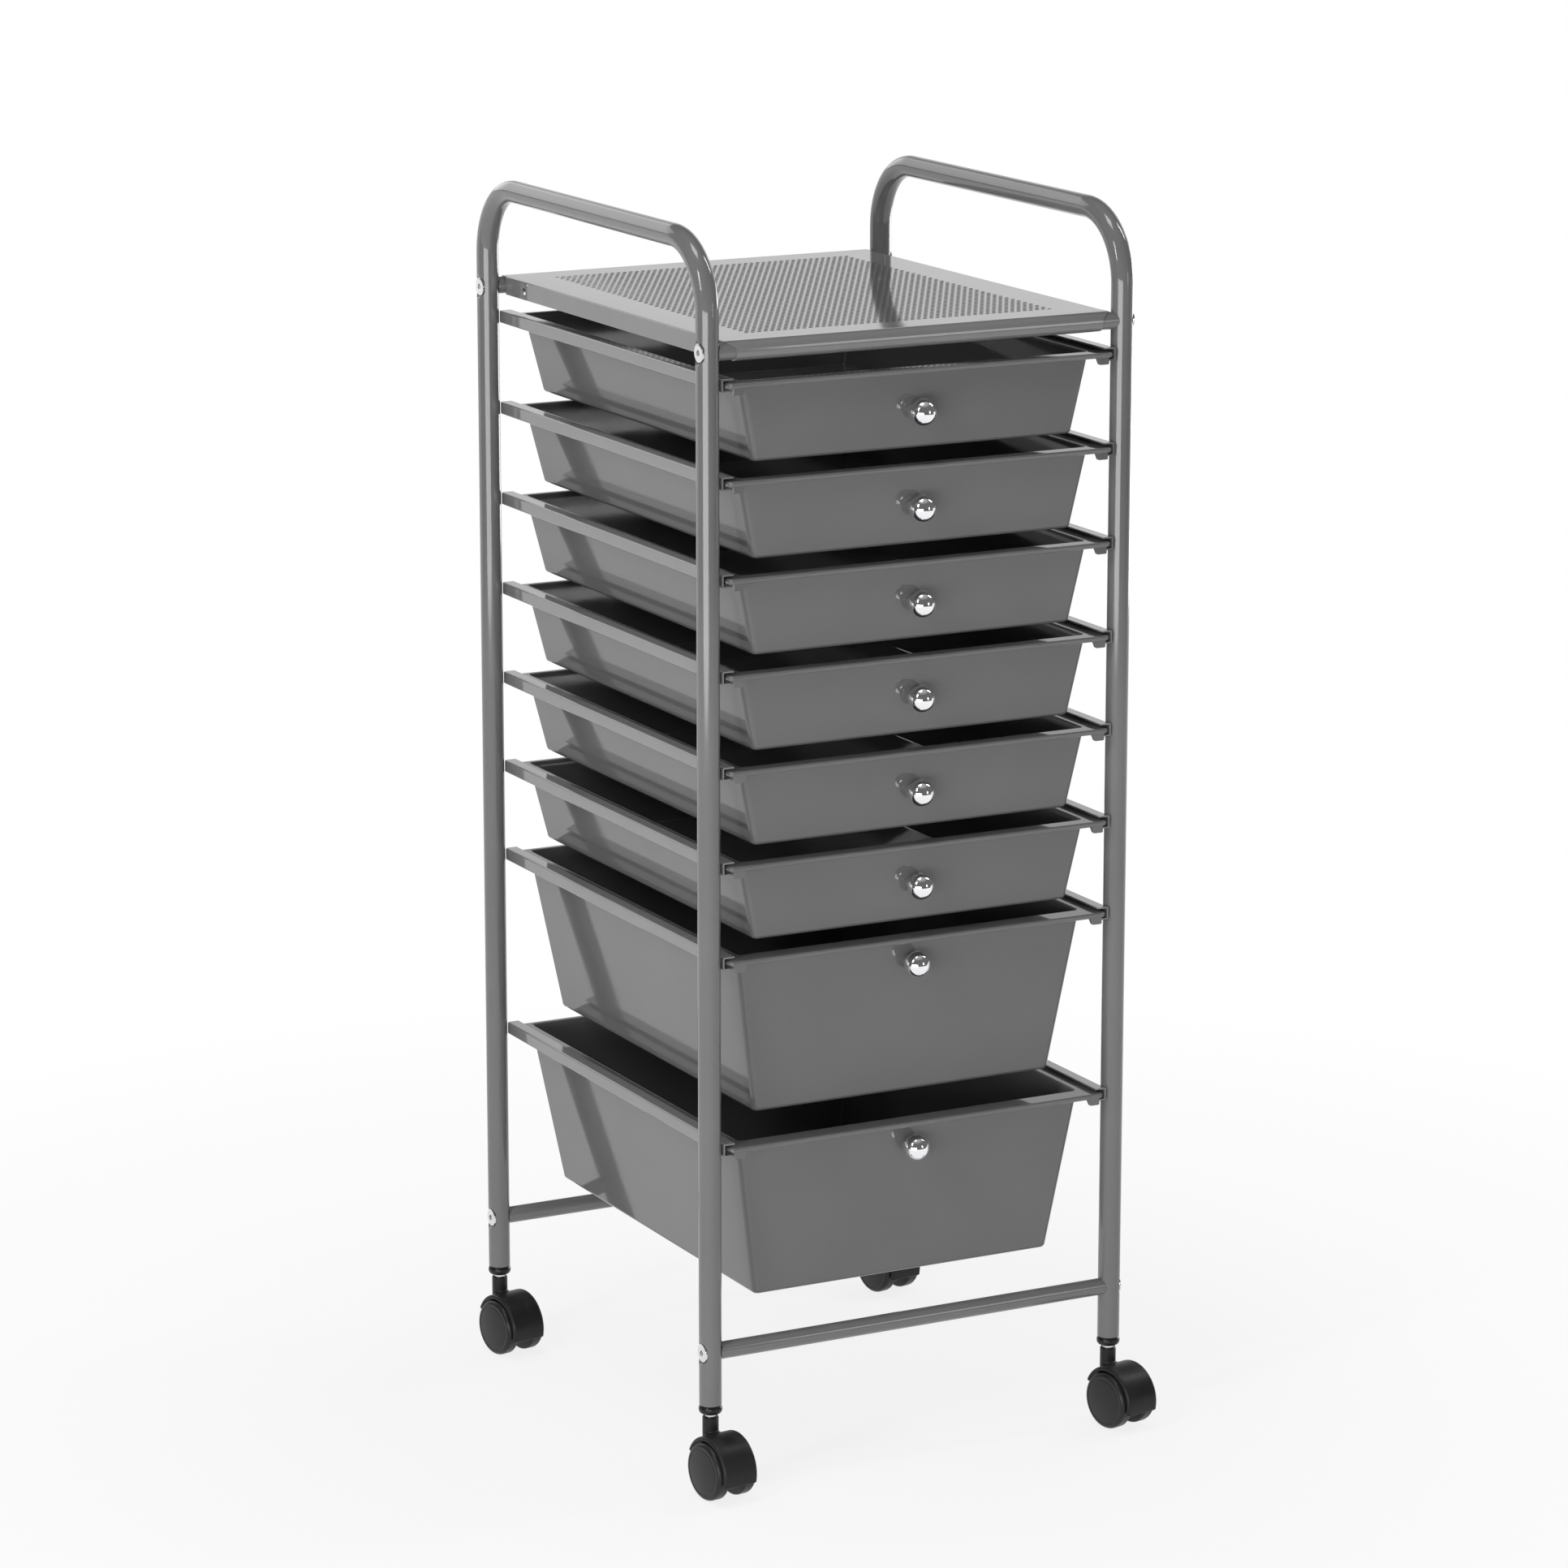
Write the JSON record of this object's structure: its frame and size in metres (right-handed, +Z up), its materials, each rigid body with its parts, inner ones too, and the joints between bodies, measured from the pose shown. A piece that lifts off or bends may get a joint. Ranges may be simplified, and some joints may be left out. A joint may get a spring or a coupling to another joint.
{
  "type": "rolling drawer cart",
  "caption": "Rolling storage cart: bent-tube side frames with handles, a top shelf and a stack of tapered drawers with ball knobs that slide in channel rails, on twin-wheel casters.",
  "frame": {"origin": "on the floor, at the centre of the base of the bounding box", "axes": "+Z up, -Y towards the drawer fronts and knobs, +X to the right as seen from the front"},
  "size_m": [0.352, 0.3924, 0.8627],
  "materials": {
    "frame_paint": "gloss paint on steel tube",
    "shelf_paint": "gloss paint on sheet steel",
    "rail_paint": "gloss paint on folded steel",
    "bolt_steel": "bright plated",
    "insert_steel": "plain, hidden",
    "socket_plastic": "satin moulding",
    "drawer_plastic": "smooth glossy moulding, opaque grey",
    "knob_chrome": "mirror plated",
    "screw_steel": "plated",
    "caster_plastic": "satin moulding",
    "wheel_plastic": "satin moulding",
    "pin_steel": "bright steel"
  },
  "bodies": {
    "frame": {"side_frame_left": "frame_paint", "side_frame_right": "frame_paint", "crossbar_front_top": "frame_paint", "crossbar_front_bottom": "frame_paint", "crossbar_rear_top": "frame_paint", "crossbar_rear_bottom": "frame_paint", "top_shelf": "shelf_paint", "frame_bolts": "bolt_steel", "crossbar_inserts": "insert_steel", "caster_sockets": "socket_plastic", "rails_level_1": "rail_paint", "rails_level_2": "rail_paint", "rails_level_3": "rail_paint", "rails_level_4": "rail_paint", "rails_level_5": "rail_paint", "rails_level_6": "rail_paint", "rails_level_7": "rail_paint", "rails_level_8": "rail_paint"},
    "drawer_unit_1": {"drawer_1": "drawer_plastic", "knob_1": "knob_chrome", "knob_screw_1": "screw_steel"},
    "drawer_unit_2": {"drawer_2": "drawer_plastic", "knob_2": "knob_chrome", "knob_screw_2": "screw_steel"},
    "drawer_unit_3": {"drawer_3": "drawer_plastic", "knob_3": "knob_chrome", "knob_screw_3": "screw_steel"},
    "drawer_unit_4": {"drawer_4": "drawer_plastic", "knob_4": "knob_chrome", "knob_screw_4": "screw_steel"},
    "drawer_unit_5": {"drawer_5": "drawer_plastic", "knob_5": "knob_chrome", "knob_screw_5": "screw_steel"},
    "drawer_unit_6": {"drawer_6": "drawer_plastic", "knob_6": "knob_chrome", "knob_screw_6": "screw_steel"},
    "drawer_unit_7": {"drawer_7": "drawer_plastic", "knob_7": "knob_chrome", "knob_screw_7": "screw_steel"},
    "drawer_unit_8": {"drawer_8": "drawer_plastic", "knob_8": "knob_chrome", "knob_screw_8": "screw_steel"},
    "caster_front_left": {"caster_front_left_housing": "caster_plastic", "caster_front_left_pins": "pin_steel"},
    "caster_front_left_wheel_left_spinner": {"caster_front_left_wheel_left": "wheel_plastic"},
    "caster_front_left_wheel_right_spinner": {"caster_front_left_wheel_right": "wheel_plastic"},
    "caster_front_right": {"caster_front_right_housing": "caster_plastic", "caster_front_right_pins": "pin_steel"},
    "caster_front_right_wheel_left_spinner": {"caster_front_right_wheel_left": "wheel_plastic"},
    "caster_front_right_wheel_right_spinner": {"caster_front_right_wheel_right": "wheel_plastic"},
    "caster_rear_left": {"caster_rear_left_housing": "caster_plastic", "caster_rear_left_pins": "pin_steel"},
    "caster_rear_left_wheel_left_spinner": {"caster_rear_left_wheel_left": "wheel_plastic"},
    "caster_rear_left_wheel_right_spinner": {"caster_rear_left_wheel_right": "wheel_plastic"},
    "caster_rear_right": {"caster_rear_right_housing": "caster_plastic", "caster_rear_right_pins": "pin_steel"},
    "caster_rear_right_wheel_left_spinner": {"caster_rear_right_wheel_left": "wheel_plastic"},
    "caster_rear_right_wheel_right_spinner": {"caster_rear_right_wheel_right": "wheel_plastic"}
  },
  "joints": [
    {"name": "drawer_1_slide", "type": "slide", "parent": "frame", "child": "drawer_unit_1", "axis": [0, -1, 0], "range_m": [0, 0.26]},
    {"name": "drawer_2_slide", "type": "slide", "parent": "frame", "child": "drawer_unit_2", "axis": [0, -1, 0], "range_m": [0, 0.26]},
    {"name": "drawer_3_slide", "type": "slide", "parent": "frame", "child": "drawer_unit_3", "axis": [0, -1, 0], "range_m": [0, 0.26]},
    {"name": "drawer_4_slide", "type": "slide", "parent": "frame", "child": "drawer_unit_4", "axis": [0, -1, 0], "range_m": [0, 0.26]},
    {"name": "drawer_5_slide", "type": "slide", "parent": "frame", "child": "drawer_unit_5", "axis": [0, -1, 0], "range_m": [0, 0.26]},
    {"name": "drawer_6_slide", "type": "slide", "parent": "frame", "child": "drawer_unit_6", "axis": [0, -1, 0], "range_m": [0, 0.26]},
    {"name": "drawer_7_slide", "type": "slide", "parent": "frame", "child": "drawer_unit_7", "axis": [0, -1, 0], "range_m": [0, 0.26]},
    {"name": "drawer_8_slide", "type": "slide", "parent": "frame", "child": "drawer_unit_8", "axis": [0, -1, 0], "range_m": [0, 0.26]},
    {"name": "caster_front_left_swivel", "type": "hinge", "parent": "frame", "child": "caster_front_left", "pos_m": [-0.157, -0.1555, 0.06], "axis": [0, 0, 1], "continuous": true},
    {"name": "caster_front_left_wheel_left_spin", "type": "hinge", "parent": "caster_front_left", "child": "caster_front_left_wheel_left_spinner", "pos_m": [-0.15529, -0.1694, 0.02], "axis": [0.9925, 0.1219, 0], "continuous": true},
    {"name": "caster_front_left_wheel_right_spin", "type": "hinge", "parent": "caster_front_left", "child": "caster_front_left_wheel_right_spinner", "pos_m": [-0.15529, -0.1694, 0.02], "axis": [0.9925, 0.1219, 0], "continuous": true},
    {"name": "caster_front_right_swivel", "type": "hinge", "parent": "frame", "child": "caster_front_right", "pos_m": [0.157, -0.1555, 0.06], "axis": [0, 0, 1], "continuous": true},
    {"name": "caster_front_right_wheel_left_spin", "type": "hinge", "parent": "caster_front_right", "child": "caster_front_right_wheel_left_spinner", "pos_m": [0.15967, -0.16924, 0.02], "axis": [0.9816, 0.1908, 0], "continuous": true},
    {"name": "caster_front_right_wheel_right_spin", "type": "hinge", "parent": "caster_front_right", "child": "caster_front_right_wheel_right_spinner", "pos_m": [0.15967, -0.16924, 0.02], "axis": [0.9816, 0.1908, 0], "continuous": true},
    {"name": "caster_rear_left_swivel", "type": "hinge", "parent": "frame", "child": "caster_rear_left", "pos_m": [-0.157, 0.1875, 0.06], "axis": [0, 0, 1], "continuous": true},
    {"name": "caster_rear_left_wheel_left_spin", "type": "hinge", "parent": "caster_rear_left", "child": "caster_rear_left_wheel_left_spinner", "pos_m": [-0.15457, 0.17371, 0.02], "axis": [0.9848, 0.1736, 0], "continuous": true},
    {"name": "caster_rear_left_wheel_right_spin", "type": "hinge", "parent": "caster_rear_left", "child": "caster_rear_left_wheel_right_spinner", "pos_m": [-0.15457, 0.17371, 0.02], "axis": [0.9848, 0.1736, 0], "continuous": true},
    {"name": "caster_rear_right_swivel", "type": "hinge", "parent": "frame", "child": "caster_rear_right", "pos_m": [0.157, 0.1875, 0.06], "axis": [0, 0, 1], "continuous": true},
    {"name": "caster_rear_right_wheel_left_spin", "type": "hinge", "parent": "caster_rear_right", "child": "caster_rear_right_wheel_left_spinner", "pos_m": [0.15919, 0.17367, 0.02], "axis": [0.9877, 0.1564, 0], "continuous": true},
    {"name": "caster_rear_right_wheel_right_spin", "type": "hinge", "parent": "caster_rear_right", "child": "caster_rear_right_wheel_right_spinner", "pos_m": [0.15919, 0.17367, 0.02], "axis": [0.9877, 0.1564, 0], "continuous": true}
  ]
}
